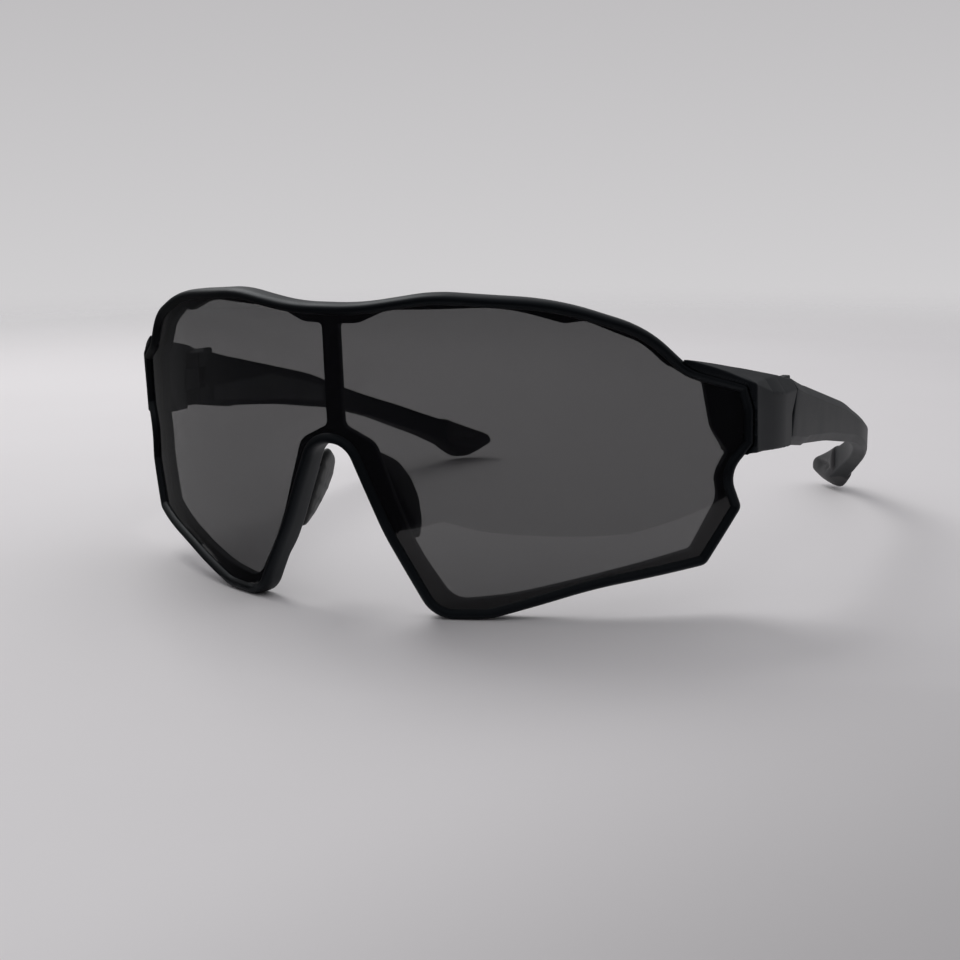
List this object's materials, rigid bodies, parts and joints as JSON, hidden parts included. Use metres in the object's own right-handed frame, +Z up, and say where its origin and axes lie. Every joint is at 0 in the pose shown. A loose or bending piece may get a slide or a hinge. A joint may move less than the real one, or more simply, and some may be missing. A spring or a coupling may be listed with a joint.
{
  "type": "wraparound sport sunglasses",
  "caption": "Wraparound sport sunglasses with a one-piece smoke shield lens in a full rim and two folding temples with soft grips and tips.",
  "frame": {"origin": "centre of the bounding box with the temples open, on the surface the glasses stand on", "axes": "+Z up, -Y the way the front faces, +X towards the wearer's left"},
  "size_m": [0.15, 0.176, 0.0628],
  "materials": {
    "frame_plastic": "satin black moulded nylon",
    "smoke_lens": "glossy smoke-tinted polycarbonate",
    "pad_rubber": "soft matte black rubber",
    "temple_plastic": "matte black moulded nylon, fine spark texture",
    "grip_rubber": "black rubber with fine upright ribs",
    "tip_rubber": "soft matte black rubber",
    "screw_steel": "satin",
    "brass": "satin"
  },
  "bodies": {
    "front": {"frame_front": "frame_plastic", "shield_lens": "smoke_lens", "nose_pad_left": "pad_rubber", "nose_pad_right": "pad_rubber"},
    "left_temple": {"temple_left": "temple_plastic", "temple_grip_left": "grip_rubber", "temple_tip_left": "tip_rubber", "hinge_screw_left": "screw_steel", "screw_insert_left": "brass"},
    "right_temple": {"temple_right": "temple_plastic", "temple_grip_right": "grip_rubber", "temple_tip_right": "tip_rubber", "hinge_screw_right": "screw_steel", "screw_insert_right": "brass"}
  },
  "joints": [
    {"name": "left_temple_fold", "type": "hinge", "parent": "front", "child": "left_temple", "pos_m": [0.0695, -0.0368, 0.0375], "axis": [0, 0, 1], "range_deg": [0, 90]},
    {"name": "right_temple_fold", "type": "hinge", "parent": "front", "child": "right_temple", "pos_m": [-0.0695, -0.0368, 0.0375], "axis": [0, 0, -1], "range_deg": [0, 79]}
  ]
}
